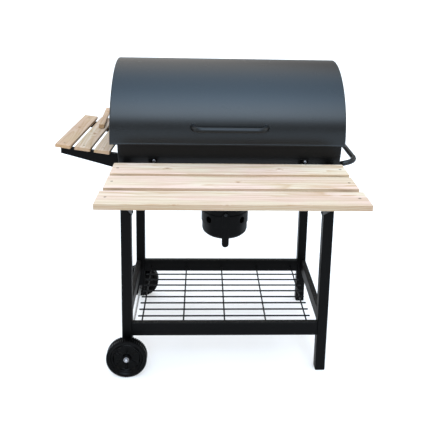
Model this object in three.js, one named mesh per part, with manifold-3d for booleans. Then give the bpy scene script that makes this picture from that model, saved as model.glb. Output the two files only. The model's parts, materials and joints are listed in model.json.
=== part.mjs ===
// Barrel charcoal grill on a wheeled stand, with a slatted front table, a tilted side table,
// a wire shelf and an ash pot. Millimetres, +Z up. The numbers below are measured from the
// middle of the stand, with the barrel's axis over Y = 0 and the floor at Z = 0. The whole
// grill is shifted at the end so that the origin is under the middle of its overall box.
import * as THREE from 'three';
import { mergeVertices } from 'three/addons/utils/BufferGeometryUtils.js';
import Module from 'manifold-3d';

const wasm = await Module();
wasm.setup();

// ---- Driving dimensions ---------------------------------------------------------------
const GAP = 0.3;                  // clearance between pieces that touch
const SHEET = 2;                  // barrel sheet thickness

const LEG = 35;                   // leg tube, square
const LEG_X = 340.5;              // leg centres, either side of the middle
const LEG_Y = 222.5;
const LEG_TOP_FRONT = 730.7;
const LEG_TOP_REAR = 740;
const TUBE_WALL = 2;
const FOOT_HEIGHT = 4;

const SHELF_BOTTOM = 138;
const SHELF_TOP = 188;
const SHELF_TUBE = 20;            // depth of the shelf's 50 x 20 tubes
const WIRE_RADIUS = 2.8;
const WIRE_Z = 160.5;             // centre height of the long shelf wires

const WHEEL_RADIUS = 70;
const WHEEL_WIDTH = 32;
const WHEEL_X = -340;
const WHEEL_INNER_Y = LEG_Y + LEG / 2 + 2.5;
const AXLE_RADIUS = 5;

const BARREL_Z = 847;             // height of the barrel's axis
const TROUGH_RADIUS = 222;
const TROUGH_X = [-368, 375];
const LID_RADIUS = 230;
const LID_X = [-392, 384.5];
const LID_SKIRT_Z = 825;          // lower edge of the lid in front
const LID_REAR_Z = 850;           // lower edge of the lid behind
const ARC_STEP = 5;               // degrees between the barrel's facets

const HINGE = { x: 250, y: 238, z: 843, radius: 7, width: 60, pin: 3, hole: 3.5 };

const TABLE_TOP = 764;
const SLAT_THICK = 18;
const SLAT_WIDTH = 100;
const TABLE_SLATS = [
  { name: 'table_slat_rear', front: -329, half: 377 },
  { name: 'table_slat_middle', front: -450, half: 377 },
  { name: 'table_slat_front', front: -573, half: 383 },
];
const ARM = { front: -530, rear: -205, height: 15 };

const SIDE_TILT = 7.3;            // degrees, outer edge raised
const SIDE_TURN = 2.7;            // degrees, the slats' rear ends swung towards the barrel
const SIDE_SLAT = { width: 52, thick: 12, half: 203, pitch: 64.8, x: -412, y: 4, top: 795 };
const SIDE_BRACKET_Y = 180;

const POT_RADIUS = 85;
const POT_TOP = 620;
const VENT_Z = 490;
const VENT_RADIUS = 13;

// ---- Materials ------------------------------------------------------------------------
const paint = (color, roughness) =>
  new THREE.MeshStandardMaterial({ color, roughness, metalness: 0.2 });
const MATERIAL = {
  lidPaint: () => paint(0x3a4147, 0.45),
  framePaint: () => paint(0x1b1b1c, 0.5),
  pine: () => new THREE.MeshStandardMaterial({ color: 0xe8d7b9, roughness: 0.65 }),
  plastic: () => new THREE.MeshStandardMaterial({ color: 0x161819, roughness: 0.6 }),
  zinc: () => new THREE.MeshStandardMaterial({ color: 0xc9ccce, roughness: 0.3, metalness: 1 }),
  wire: () => paint(0x202122, 0.45),
  iron: () => new THREE.MeshStandardMaterial({ color: 0x2a2a2b, roughness: 0.7, metalness: 0.4 }),
};

// ---- Solids: closed shapes that can be joined and cut -----------------------------------
function toSolid(geometry) {
  geometry.deleteAttribute('normal');
  geometry.deleteAttribute('uv');
  const merged = mergeVertices(geometry, 1e-4);
  const index = Uint32Array.from(merged.index.array);
  if (signedVolume(merged.attributes.position, index) < 0) {
    for (let i = 0; i < index.length; i += 3) {
      [index[i + 1], index[i + 2]] = [index[i + 2], index[i + 1]];
    }
  }
  const vertProperties = Float32Array.from(merged.attributes.position.array);
  return new wasm.Manifold(new wasm.Mesh({ numProp: 3, vertProperties, triVerts: index }));
}

function signedVolume(position, index) {
  const [a, b, c] = [new THREE.Vector3(), new THREE.Vector3(), new THREE.Vector3()];
  let volume = 0;
  for (let i = 0; i < index.length; i += 3) {
    a.fromBufferAttribute(position, index[i]);
    b.fromBufferAttribute(position, index[i + 1]);
    c.fromBufferAttribute(position, index[i + 2]);
    volume += a.dot(b.cross(c));
  }
  return volume;
}

function toGeometry(solid) {
  const mesh = solid.getMesh();
  const geometry = new THREE.BufferGeometry();
  geometry.setAttribute('position', new THREE.Float32BufferAttribute(mesh.vertProperties, 3));
  geometry.setIndex([...mesh.triVerts]);
  geometry.computeVertexNormals();
  return geometry;
}

const join = (...solids) => solids.reduce((whole, part) => whole.add(part));
const X = new THREE.Vector3(1, 0, 0);
const Y = new THREE.Vector3(0, 1, 0);
const Z = new THREE.Vector3(0, 0, 1);
const radians = THREE.MathUtils.degToRad;

// A prism whose outline lies across `axis` and runs along it from `from` to `to`. Outline
// points are [y, z] across X, [x, z] across Y and [x, y] across Z. `holes` are outlines too.
function prism(axis, outline, from, to, holes = []) {
  const path = (points) => {
    const corners = points.map(([u, v]) => (axis === Y ? new THREE.Vector2(v, u)
      : new THREE.Vector2(u, v)));
    return THREE.ShapeUtils.isClockWise(corners) ? corners.reverse() : corners;
  };
  const shape = new THREE.Shape(path(outline));
  shape.holes = holes.map((hole) => new THREE.Path(path(hole)));
  const geometry = new THREE.ExtrudeGeometry(shape, { depth: to - from, bevelEnabled: false });
  geometry.translate(0, 0, from);
  const basis = new THREE.Matrix4();
  if (axis === X) geometry.applyMatrix4(basis.makeBasis(Y, Z, X));
  if (axis === Y) geometry.applyMatrix4(basis.makeBasis(Z, X, Y));
  return toSolid(geometry);
}

const box = ([x0, x1], [y0, y1], [z0, z1]) =>
  prism(Z, [[x0, y0], [x1, y0], [x1, y1], [x0, y1]], z0, z1);

const rectangle = (u0, u1, v0, v1, chamfer = 0) => (chamfer === 0
  ? [[u0, v0], [u1, v0], [u1, v1], [u0, v1]]
  : [[u0 + chamfer, v0], [u1 - chamfer, v0], [u1, v0 + chamfer], [u1, v1 - chamfer],
    [u1 - chamfer, v1], [u0 + chamfer, v1], [u0, v1 - chamfer], [u0, v0 + chamfer]]);

// A rectangular tube along `axis`, with slightly broken corners and open ends.
function tube(axis, [u0, u1], [v0, v1], from, to) {
  const hole = rectangle(u0 + TUBE_WALL, u1 - TUBE_WALL, v0 + TUBE_WALL, v1 - TUBE_WALL);
  return prism(axis, rectangle(u0, u1, v0, v1, 2.5), from, to, [hole]);
}

const circle = (u, v, radius, sides) => Array.from({ length: sides }, (_, i) => {
  const angle = (2 * Math.PI * i) / sides;
  return [u + radius * Math.cos(angle), v + radius * Math.sin(angle)];
});

const rod = (axis, u, v, radius, from, to, sides = 16) =>
  prism(axis, circle(u, v, radius, sides), from, to);

// Points on a circle round the barrel's axis, as [y, z]. Angles are in degrees from +Y
// towards +Z, and the facets fall on the same angles on every piece that follows the barrel.
function barrelArc(radius, start, end) {
  const steps = Math.max(1, Math.round(Math.abs(end - start) / ARC_STEP));
  return Array.from({ length: steps + 1 }, (_, i) => {
    const angle = radians(start + ((end - start) * i) / steps);
    return [radius * Math.cos(angle), BARREL_Z + radius * Math.sin(angle)];
  });
}

const angleAtHeight = (radius, z) =>
  THREE.MathUtils.radToDeg(Math.asin((z - BARREL_Z) / radius));

const barrelCore = (radius) =>
  prism(X, barrelArc(radius, 0, 360).slice(0, -1), LID_X[0] - 50, LID_X[1] + 50);

// A turned piece: the profile is a closed list of [radius, height] round the Z axis.
function turned(profile, sides, closed = true) {
  const points = profile.map(([r, h]) => new THREE.Vector2(r, h));
  if (closed) points.push(points[0].clone());
  const geometry = new THREE.LatheGeometry(points, sides);
  geometry.rotateX(Math.PI / 2);
  return toSolid(geometry);
}

// A round bar along a path of straight runs with rounded corners.
function bentBar(corners, bend, radius, steps, sides = 10) {
  const points = corners.map((corner) => new THREE.Vector3(...corner));
  const path = new THREE.CurvePath();
  let from = points[0];
  for (let i = 1; i < points.length - 1; i += 1) {
    const before = points[i].clone().sub(points[i - 1]).setLength(bend);
    const after = points[i + 1].clone().sub(points[i]).setLength(bend);
    const enter = points[i].clone().sub(before);
    const leave = points[i].clone().add(after);
    path.add(new THREE.LineCurve3(from, enter));
    path.add(new THREE.QuadraticBezierCurve3(enter, points[i], leave));
    from = leave;
  }
  path.add(new THREE.LineCurve3(from, points.at(-1)));
  const shape = new THREE.Shape(circle(0, 0, radius, sides).map(([u, v]) =>
    new THREE.Vector2(u, v)));
  return toSolid(new THREE.ExtrudeGeometry(shape, { steps, extrudePath: path }));
}

const grill = new THREE.Group();
function add(name, solid, material, parent = grill) {
  const mesh = new THREE.Mesh(toGeometry(solid), MATERIAL[material]());
  mesh.name = name;
  parent.add(mesh);
}

const SIDES = [['left', -1], ['right', 1]];
const ENDS = [['front', -1], ['rear', 1]];
const span = (side, near, far) => (side < 0 ? [-far, -near] : [near, far]);

// ---- Stand: four legs, feet, shelf and axle ----------------------------------------------
const AXLE_Z = WHEEL_RADIUS;
const LEFT_LEG_BOTTOM = 50;
const axleHole = rod(Y, WHEEL_X, AXLE_Z, AXLE_RADIUS + 0.6, -400, 400);

for (const [sideName, side] of SIDES) {
  for (const [endName, end] of ENDS) {
    const across = span(side, LEG_X - LEG / 2, LEG_X + LEG / 2);
    const along = span(end, LEG_Y - LEG / 2, LEG_Y + LEG / 2);
    const top = end < 0 ? LEG_TOP_FRONT : LEG_TOP_REAR;
    const bottom = side < 0 ? LEFT_LEG_BOTTOM : FOOT_HEIGHT + GAP;
    const leg = tube(Z, across, along, bottom, top);
    add(`leg_${endName}_${sideName}`, side < 0 ? leg.subtract(axleHole) : leg, 'framePaint');
    if (side > 0) {
      const inset = TUBE_WALL + GAP;
      const plug = box([across[0] + inset, across[1] - inset],
        [along[0] + inset, along[1] - inset], [FOOT_HEIGHT - 1, 22]);
      const flange = prism(Z, rectangle(...across, ...along, 3), 0, FOOT_HEIGHT);
      add(`foot_cap_${endName}`, join(flange, plug), 'plastic');
    }
  }
}

const BEAM_END = LEG_X - LEG / 2 - GAP;
const RAIL_END = LEG_Y - LEG / 2 - GAP;
const BEAM_FACE = { front: -LEG_Y - LEG / 2, rear: LEG_Y - LEG / 2 };
for (const [endName] of ENDS) {
  const face = BEAM_FACE[endName];
  add(`shelf_beam_${endName}`, tube(X, [face, face + SHELF_TUBE],
    [SHELF_BOTTOM, SHELF_TOP], -BEAM_END, BEAM_END), 'framePaint');
}
for (const [sideName, side] of SIDES) {
  const outer = LEG_X + LEG / 2;
  add(`shelf_rail_${sideName}`, tube(Y, span(side, outer - SHELF_TUBE, outer),
    [SHELF_BOTTOM, SHELF_TOP], -RAIL_END, RAIL_END), 'framePaint');
}

// Shelf of welded wire: eight long wires on five cross wires that reach the two beams.
const LONG_WIRES = 8;
const CROSS_WIRES = 5;
const gridWires = [];
for (let i = 0; i < LONG_WIRES; i += 1) {
  const y = 42 * (i - (LONG_WIRES - 1) / 2);
  gridWires.push(rod(X, y, WIRE_Z, WIRE_RADIUS, -312, 312, 6));
}
for (let i = 0; i < CROSS_WIRES; i += 1) {
  const x = 147.5 * (i - (CROSS_WIRES - 1) / 2);
  gridWires.push(rod(Y, x, WIRE_Z - 4, WIRE_RADIUS, BEAM_FACE.front + SHELF_TUBE + GAP,
    BEAM_FACE.rear - GAP, 6));
}
add('shelf_wire_grid', join(...gridWires), 'wire');

// ---- Wheels, axle and dome nuts ------------------------------------------------------------
const WHEEL_OUTER_Y = WHEEL_INNER_Y + WHEEL_WIDTH;
const AXLE_END = WHEEL_OUTER_Y + 4.5;
add('axle', rod(Y, WHEEL_X, AXLE_Z, AXLE_RADIUS, -AXLE_END, AXLE_END), 'zinc');

// Half section of the moulded wheel: bore, hub, web and tread. Height runs outwards.
const WHEEL_PROFILE = [[5.5, 32], [17, 32], [18, 23], [50, 23], [52, 30], [64, 32], [70, 28],
  [70, 4], [64, 0], [52, 2], [50, 10], [18, 10], [17, 0], [5.5, 0]];
const NUT_PROFILE = [[0, 4.8], [5.3, 4.8], [5.3, 0], [9.5, 0], [9.5, 3], [8.6, 6], [6.5, 8.3],
  [3.5, 9.6], [0, 10]];
for (const [endName, end] of ENDS) {
  const place = new THREE.Group();
  place.position.set(WHEEL_X, end * WHEEL_INNER_Y, AXLE_Z);
  place.rotation.x = (-end * Math.PI) / 2;
  grill.add(place);
  add(`wheel_${endName}`, turned(WHEEL_PROFILE, 28), 'plastic', place);
  const tip = new THREE.Group();
  tip.position.set(0, 0, WHEEL_WIDTH + 0.5);
  place.add(tip);
  add(`axle_nut_${endName}`, turned(NUT_PROFILE, 16, false), 'zinc', tip);
}

// ---- Trough: lower half of the barrel --------------------------------------------------------
const POT_HOLE_RADIUS = 70;
const troughSection = [...barrelArc(TROUGH_RADIUS, 180, 360),
  ...barrelArc(TROUGH_RADIUS - SHEET, 360, 180)];
const ashHole = rod(Z, 0, 0, POT_HOLE_RADIUS, 500, 700, 32);
add('trough_shell', prism(X, troughSection, TROUGH_X[0] + SHEET + GAP,
  TROUGH_X[1] - SHEET - GAP).subtract(ashHole), 'framePaint');
const troughEnd = barrelArc(TROUGH_RADIUS, 180, 360);
add('trough_end_left', prism(X, troughEnd, TROUGH_X[0], TROUGH_X[0] + SHEET), 'framePaint');
add('trough_end_right', prism(X, troughEnd, TROUGH_X[1] - SHEET, TROUGH_X[1]), 'framePaint');

// Folded brackets that hold the trough on the legs. The profile is [y, z] for the rear pair.
const BRACKET_SHEET = 3;
const hugging = TROUGH_RADIUS + GAP;
const legFace = LEG_Y - LEG / 2 - GAP;
const legBracket = [[legFace, 665], [legFace, 739],
  ...barrelArc(hugging, -28.2, -46), ...barrelArc(hugging + BRACKET_SHEET, -46, -29.3),
  [legFace - BRACKET_SHEET, 665]];
for (const [sideName, side] of SIDES) {
  for (const [endName, end] of ENDS) {
    const outline = legBracket.map(([y, z]) => [end * y, z]);
    add(`trough_bracket_${endName}_${sideName}`, prism(X, outline,
      ...span(side, LEG_X - LEG / 2, LEG_X + LEG / 2)), 'framePaint');
  }
}

// ---- Grates inside the barrel ------------------------------------------------------------------
const LEDGE_TOP = 815;
const CHARCOAL_GAP = 55;          // from the charcoal grate to each end of the trough
const ledgeReach = Math.sqrt((TROUGH_RADIUS - SHEET) ** 2 - (BARREL_Z - LEDGE_TOP + 4) ** 2) - GAP;
for (const [endName, end] of ENDS) {
  add(`grate_ledge_${endName}`, box([TROUGH_X[0] + 5, TROUGH_X[1] - 5],
    span(end, ledgeReach - 18, ledgeReach), [LEDGE_TOP - 4, LEDGE_TOP]), 'framePaint');
}

// A grate is a frame of flat bars with thin bars across it.
function grate([x0, x1], half, [z0, z1], barCount, runners) {
  const frame = prism(Z, rectangle(x0, x1, -half, half), z0, z1,
    [rectangle(x0 + 7, x1 - 7, -half + 7, half - 7)]);
  const pieces = [frame];
  const pitch = (x1 - x0) / (barCount + 1);
  for (let i = 1; i <= barCount; i += 1) {
    const x = x0 + i * pitch;
    pieces.push(box([x - 2.5, x + 2.5], [-half + 5, half - 5], [z0 + 1, z1 - 0.5]));
  }
  for (const y of runners) {
    pieces.push(box([x0 + 5, x1 - 5], [y - 2.5, y + 2.5], [z0 + 0.5, z0 + 2.5]));
  }
  return join(...pieces);
}
const grateMiddle = (TROUGH_X[0] + TROUGH_X[1]) / 2;
const grateZ = [LEDGE_TOP + GAP, LEDGE_TOP + GAP + 6];
add('cooking_grate_left', grate([TROUGH_X[0] + 7, grateMiddle - 2], 208, grateZ, 14, [0]), 'iron');
add('cooking_grate_right', grate([grateMiddle + 2, TROUGH_X[1] - 7], 208, grateZ, 14, [0]), 'iron');
add('charcoal_grate', grate([TROUGH_X[0] + CHARCOAL_GAP, TROUGH_X[1] - CHARCOAL_GAP], 163,
  [700, 706], 15, [0]), 'iron');

// ---- Lid with its bar handle ---------------------------------------------------------------------
const lidFront = 180 - angleAtHeight(LID_RADIUS, LID_SKIRT_Z);
const lidRear = angleAtHeight(LID_RADIUS, LID_REAR_Z);
const lidSection = [...barrelArc(LID_RADIUS, lidRear, lidFront),
  ...barrelArc(LID_RADIUS - SHEET, lidFront, lidRear)];
add('lid_shell', prism(X, lidSection, LID_X[0] + SHEET + GAP, LID_X[1] - SHEET - GAP), 'lidPaint');
const lidEnd = barrelArc(LID_RADIUS, lidRear, lidFront);
lidEnd.push([Math.abs(lidEnd.at(-1)[0]), LID_SKIRT_Z]);
add('lid_end_left', prism(X, lidEnd, LID_X[0], LID_X[0] + SHEET), 'lidPaint');
add('lid_end_right', prism(X, lidEnd, LID_X[1] - SHEET, LID_X[1]), 'lidPaint');

const HANDLE = { half: 120, y: -267, z: 888, rootY: -215, rootZ: 889, radius: 9 };
const handleBar = bentBar([[-HANDLE.half, HANDLE.rootY, HANDLE.rootZ],
  [-HANDLE.half, HANDLE.y, HANDLE.z], [HANDLE.half, HANDLE.y, HANDLE.z],
  [HANDLE.half, HANDLE.rootY, HANDLE.rootZ]], 18, HANDLE.radius, 28, 8);
const lidCore = prism(X, [...barrelArc(LID_RADIUS + GAP, lidRear, lidFront)], -200, 200);
add('lid_handle', handleBar.subtract(lidCore), 'framePaint');

// ---- Rear hinges ------------------------------------------------------------------------------------
const LEAF = 2.5;
const knuckle = (x0, x1) => rod(X, HINGE.y, HINGE.z, HINGE.radius, x0, x1);
for (const [sideName, side] of SIDES) {
  const centre = side * HINGE.x;
  const half = HINGE.width / 2;
  const hole = rod(X, HINGE.y, HINGE.z, HINGE.hole, centre - half - 5, centre + half + 5);
  const lowerOuter = TROUGH_RADIUS + GAP + LEAF;
  const lowerPlate = [...barrelArc(TROUGH_RADIUS + GAP, 0, -17),
    ...barrelArc(lowerOuter, -17, 0)];
  const lowerTongue = [[lowerOuter - 1, 833], [lowerOuter - 1, 838],
    [HINGE.y, 840], [HINGE.y + 2, 836.5]];
  let lower = prism(X, lowerPlate, centre - half, centre + half);
  for (const [x0, x1] of [[centre - half, centre - 12], [centre + 12, centre + half]]) {
    lower = join(lower, prism(X, lowerTongue, x0, x1), knuckle(x0, x1));
  }
  add(`hinge_lower_${sideName}`, lower.subtract(hole), 'framePaint');

  const upperInner = LID_RADIUS + GAP;
  const upperPlate = [...barrelArc(upperInner, 4, 20), ...barrelArc(upperInner + LEAF, 20, 4)];
  const upperTongue = [[upperInner + 0.4, 862], [upperInner + 0.6, 853.5], [HINGE.y - 3, 845],
    [HINGE.y + 3, 846], [upperInner + LEAF + 0.5, 868]];
  const upper = join(prism(X, upperPlate, centre - half, centre + half),
    prism(X, upperTongue, centre - 11.6, centre + 11.6), knuckle(centre - 11.6, centre + 11.6));
  add(`hinge_upper_${sideName}`, upper.subtract(hole), 'framePaint');

  const pin = join(rod(X, HINGE.y, HINGE.z, HINGE.pin, centre - half - 1, centre + half + 3),
    rod(X, HINGE.y, HINGE.z, HINGE.pin + 2, centre + half + GAP, centre + half + 3));
  add(`hinge_pin_${sideName}`, pin, 'zinc');
}

// ---- Push handle on the right-hand end -----------------------------------------------------------------
const PUSH = { x: 434, z: 764, rootZ: 752, y: 187, radius: 9 };
const endFace = TROUGH_X[1] + GAP;
const pushBar = bentBar([[endFace - 12, -PUSH.y, PUSH.rootZ - 5], [PUSH.x, -PUSH.y, PUSH.z],
  [PUSH.x, PUSH.y, PUSH.z], [endFace - 12, PUSH.y, PUSH.rootZ - 5]], 42, PUSH.radius, 32, 10);
const pushFlanges = ENDS.map(([, end]) => rod(X, end * PUSH.y, PUSH.rootZ, 12, endFace,
  endFace + 3, 16));
const insideEnd = box([endFace - 60, endFace], [-300, 300], [600, 900]);
add('push_handle', join(pushBar, ...pushFlanges).subtract(insideEnd), 'framePaint');

// ---- Front table: three slats on two arms, struts and rear brackets ------------------------------------
for (const { name, front, half } of TABLE_SLATS) {
  const outline = rectangle(front, front + SLAT_WIDTH, TABLE_TOP - SLAT_THICK, TABLE_TOP, 1.5);
  add(name, prism(X, outline, -half, half), 'pine');
}
const armTop = TABLE_TOP - SLAT_THICK - GAP;
const capsule = ([u0, v0], [u1, v1], radius) => {
  const heading = Math.atan2(v1 - v0, u1 - u0);
  const cap = (u, v, start) => Array.from({ length: 7 }, (_, i) => {
    const angle = heading + radians(start + 30 * i);
    return [u + radius * Math.cos(angle), v + radius * Math.sin(angle)];
  });
  return [...cap(u0, v0, 90), ...cap(u1, v1, -90)];
};
const strutOutline = capsule([-222, 590], [-470, 733], 11);
const rearPlate = TROUGH_RADIUS + GAP;
const rearBracket = [...barrelArc(rearPlate, 198.6, 206.5), [-197.5, armTop - LEAF],
  [-275, armTop - LEAF], [-275, armTop], ...barrelArc(rearPlate + LEAF, 206.8, 198.6)];
const TABLE_BOLT_X = 252;
const TABLE_BOLT_SHIFT = 3.5;
for (const [sideName, side] of SIDES) {
  add(`table_arm_${sideName}`, tube(Y, span(side, LEG_X - LEG / 2, LEG_X + LEG / 2),
    [armTop - ARM.height + GAP, armTop], ARM.front, ARM.rear), 'framePaint');
  add(`table_strut_${sideName}`, prism(X, strutOutline, ...span(side, BEAM_END - 3,
    BEAM_END)), 'framePaint');
  add(`table_bracket_${sideName}`, prism(X, rearBracket, side * TABLE_BOLT_X - 15,
    side * TABLE_BOLT_X + 15), 'framePaint');
  const bolt = new THREE.Group();
  bolt.position.set(side * TABLE_BOLT_X + TABLE_BOLT_SHIFT, 0, BARREL_Z);
  bolt.rotation.x = radians(90 + 21.3);
  grill.add(bolt);
  const boltBase = rearPlate + LEAF + GAP;
  add(`table_bolt_${sideName}`, join(rod(Z, 0, 0, 6, boltBase, boltBase + 1.2, 16),
    rod(Z, 0, 0, 4.6, boltBase + 0.8, boltBase + 5, 6)), 'zinc', bolt);
}

// ---- Side table: three slats on two tapered brackets -------------------------------------------------------
const sideTable = new THREE.Group();
sideTable.position.set(SIDE_SLAT.x, SIDE_SLAT.y, SIDE_SLAT.top);
sideTable.rotation.set(0, radians(SIDE_TILT), -radians(SIDE_TURN));
grill.add(sideTable);
['inner', 'middle', 'outer'].forEach((place, i) => {
  const x = -i * SIDE_SLAT.pitch;
  const outline = rectangle(x - SIDE_SLAT.width / 2, x + SIDE_SLAT.width / 2,
    -SIDE_SLAT.thick, 0, 1.5);
  add(`side_slat_${place}`, prism(Y, outline, -SIDE_SLAT.half, SIDE_SLAT.half), 'pine', sideTable);
});

const slope = Math.tan(radians(SIDE_TILT));
const underSlats = (x) => SIDE_SLAT.top + slope * (SIDE_SLAT.x - x)
  - SIDE_SLAT.thick / Math.cos(radians(SIDE_TILT)) - 0.4;
const rootX = TROUGH_X[0] - GAP;
const tipX = -560;
const SIDE_ROOT_Z = 726;
const SIDE_TIP_Z = 780;
const EAR_TOP_Z = 785;             // the web rises against the trough, clear of the slats
const EAR_X = -376;
const FLANGE = 18;
for (const [endName, end] of ENDS) {
  const face = end * SIDE_BRACKET_Y;
  const flange = end < 0 ? [face, face + FLANGE] : [face - FLANGE, face];
  const web = end < 0 ? [face, face + LEAF] : [face - LEAF, face];
  const webOutline = [[rootX, SIDE_ROOT_Z], [rootX, EAR_TOP_Z], [EAR_X, underSlats(EAR_X)],
    [tipX, underSlats(tipX)], [tipX, SIDE_TIP_Z]];
  const topOutline = [[EAR_X, underSlats(EAR_X)], [tipX, underSlats(tipX)],
    [tipX, underSlats(tipX) - LEAF], [EAR_X, underSlats(EAR_X) - LEAF]];
  add(`side_bracket_${endName}`, join(prism(Y, webOutline, ...web),
    prism(Y, topOutline, ...flange),
    box([rootX - LEAF, rootX], flange, [SIDE_ROOT_Z, EAR_TOP_Z])), 'framePaint');
}

// A loose batten lies on the side table, turned out of line with the slats.
const batten = new THREE.Group();
batten.position.set(-55.9, 43.4, GAP + 0.1);
batten.rotation.z = radians(6.1);
sideTable.add(batten);
add('side_batten', prism(Y, rectangle(-10, 10, 0, 16, 1), 0, 260), 'pine', batten);

// ---- Ash pot under the trough -----------------------------------------------------------------------------------
const collar = turned([[86.5, 600], [88.5, 600], [88.5, 660], [86.5, 660]], 36);
add('ash_collar', collar.subtract(barrelCore(TROUGH_RADIUS + GAP)), 'framePaint');

const vents = [45, 135, 225, 315].map((angle) => {
  const geometry = new THREE.CylinderGeometry(VENT_RADIUS, VENT_RADIUS, 60, 16);
  geometry.translate(0, POT_RADIUS, 0);
  geometry.rotateZ(radians(angle));
  geometry.translate(0, 0, VENT_Z);
  return toSolid(geometry);
});
const cutVents = (solid) => vents.reduce((left, vent) => left.subtract(vent), solid);
const POT_SIDES = 36;
const BOWL = { top: 438, depth: 33, steps: 6 };
const bowlArc = (shrink) => Array.from({ length: BOWL.steps + 1 }, (_, i) => {
  const angle = (i / BOWL.steps) * Math.PI / 2;
  return [(POT_RADIUS - shrink) * Math.sin(angle),
    BOWL.top - (BOWL.depth - shrink) * Math.cos(angle)];
});
const POT_PROFILE = [...bowlArc(0), [POT_RADIUS, POT_TOP], [POT_RADIUS - SHEET, POT_TOP],
  ...bowlArc(SHEET).reverse()];
add('ash_pot', cutVents(turned(POT_PROFILE, POT_SIDES, false)), 'framePaint');

// The damper is a ring round the pot with the same four holes and a lever that hangs down.
const RING_INNER = POT_RADIUS + 0.9;
const ring = turned([[RING_INNER, 468], [RING_INNER + SHEET, 468], [RING_INNER + SHEET, 512],
  [RING_INNER, 512]], POT_SIDES);
const leverOutline = capsule([0, 408], [0, 512], 13);
const lever = prism(Y, leverOutline, -RING_INNER - SHEET - 2.6, -RING_INNER - SHEET + 0.4);
add('air_damper', join(cutVents(ring), lever), 'framePaint');

// ---- Origin under the middle of the overall box ------------------------------------------------------------------
const BOX_MIDDLE = [-67.12, -131.44];
grill.position.set(-BOX_MIDDLE[0], -BOX_MIDDLE[1], 0);

export default grill;
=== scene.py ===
"""Looks of a barrel charcoal grill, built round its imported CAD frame. Metres, +Z up."""
import json
import math
import random

import bmesh
import bpy
from mathutils import Matrix, Vector


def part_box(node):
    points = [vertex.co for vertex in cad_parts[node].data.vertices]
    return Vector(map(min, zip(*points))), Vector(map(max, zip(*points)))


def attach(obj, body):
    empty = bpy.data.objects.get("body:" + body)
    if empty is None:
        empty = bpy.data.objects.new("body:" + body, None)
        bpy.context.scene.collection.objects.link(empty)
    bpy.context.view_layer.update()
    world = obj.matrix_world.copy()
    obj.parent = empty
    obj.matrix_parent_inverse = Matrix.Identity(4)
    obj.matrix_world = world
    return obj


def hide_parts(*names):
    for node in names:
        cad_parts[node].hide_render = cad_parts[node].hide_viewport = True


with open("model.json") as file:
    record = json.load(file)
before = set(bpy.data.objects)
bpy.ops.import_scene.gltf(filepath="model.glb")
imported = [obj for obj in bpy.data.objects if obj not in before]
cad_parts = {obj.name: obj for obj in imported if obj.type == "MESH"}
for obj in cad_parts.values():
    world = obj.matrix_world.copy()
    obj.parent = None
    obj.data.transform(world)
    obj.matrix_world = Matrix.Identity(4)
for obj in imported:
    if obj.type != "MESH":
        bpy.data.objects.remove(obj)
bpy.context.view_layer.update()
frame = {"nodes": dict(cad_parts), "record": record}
NODES = frame["nodes"]
SLOT = {row["node"]: row["material_slot"] for row in frame["record"]["subparts"]}
MM = 0.001
SIDES = (("left", -1), ("right", 1))
ENDS = (("front", -1), ("rear", 1))


# ---- Node trees ------------------------------------------------------------------------------
class Shader:
    """The node tree of a material or of a world, with short calls that add nodes and join them."""

    def __init__(self, owner, coords="Object"):
        self.owner = bpy.data.materials.new(owner) if isinstance(owner, str) else owner
        self.owner.use_nodes = True
        self.tree = self.owner.node_tree
        self.tree.nodes.clear()
        self.coords = self.add("ShaderNodeTexCoord").outputs[coords]

    def add(self, kind, inputs=None, **settings):
        node = self.tree.nodes.new(kind)
        for key, value in settings.items():
            setattr(node, key, value)
        for key, value in (inputs or {}).items():
            self.put(node.inputs[key], value)
        return node

    def put(self, socket, value):
        if isinstance(value, bpy.types.NodeSocket):
            self.tree.links.new(value, socket)
        else:
            socket.default_value = value

    def math(self, operation, a, b=0.0, c=0.0):
        return self.add("ShaderNodeMath", {0: a, 1: b, 2: c}, operation=operation).outputs[0]

    def noise(self, scale, detail=3.0, stretch=(1, 1, 1), offset=(0, 0, 0), roughness=0.55,
              vector=None):
        """Smooth noise from 0 to 1, in cycles per metre, stretched along the axes."""
        place = self.add("ShaderNodeMapping", {
            "Vector": vector or self.coords, "Location": offset, "Scale": stretch}).outputs[0]
        return self.add("ShaderNodeTexNoise", {
            "Vector": place, "Scale": scale, "Detail": detail, "Roughness": roughness}).outputs["Fac"]

    def ramp(self, value, low, high, to_low=0.0, to_high=1.0):
        """value rescaled from low..high to to_low..to_high, with soft ends."""
        return self.add("ShaderNodeMapRange", {
            "Value": value, "From Min": low, "From Max": high, "To Min": to_low, "To Max": to_high,
        }, interpolation_type="SMOOTHSTEP").outputs["Result"]

    def blend(self, share, first, second):
        return self.add("ShaderNodeMix", {"Factor": share, 6: first, 7: second},
                        data_type="RGBA").outputs[2]

    def bump(self, height, distance):
        return self.add("ShaderNodeBump", {
            "Height": height, "Distance": distance, "Strength": 1.0}).outputs["Normal"]

    def edges(self, radius):
        """1 along sharp edges and 0 on flat faces, from how a rounded normal leaves the true one."""
        rounded = self.add("ShaderNodeBevel", {"Radius": radius}, samples=4).outputs[0]
        true = self.add("ShaderNodeNewGeometry").outputs["Normal"]
        dot = self.add("ShaderNodeVectorMath", {0: rounded, 1: true},
                       operation="DOT_PRODUCT").outputs["Value"]
        return self.ramp(dot, 0.98, 0.8)

    def facing_up(self):
        normal = self.add("ShaderNodeNewGeometry").outputs["Normal"]
        return self.add("ShaderNodeSeparateXYZ", {0: normal}).outputs["Z"]

    def surface(self, **inputs):
        names = {key.replace("_", " "): value for key, value in inputs.items()}
        shader = self.add("ShaderNodeBsdfPrincipled", names)
        self.add("ShaderNodeOutputMaterial", {"Surface": shader.outputs[0]})
        return self.owner


def rgb(red, green, blue):
    """A linear colour from display values of 0 to 255."""
    def linear(value):
        value /= 255
        return value / 12.92 if value <= 0.04045 else ((value + 0.055) / 1.055) ** 2.4
    return (linear(red), linear(green), linear(blue), 1.0)


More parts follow.
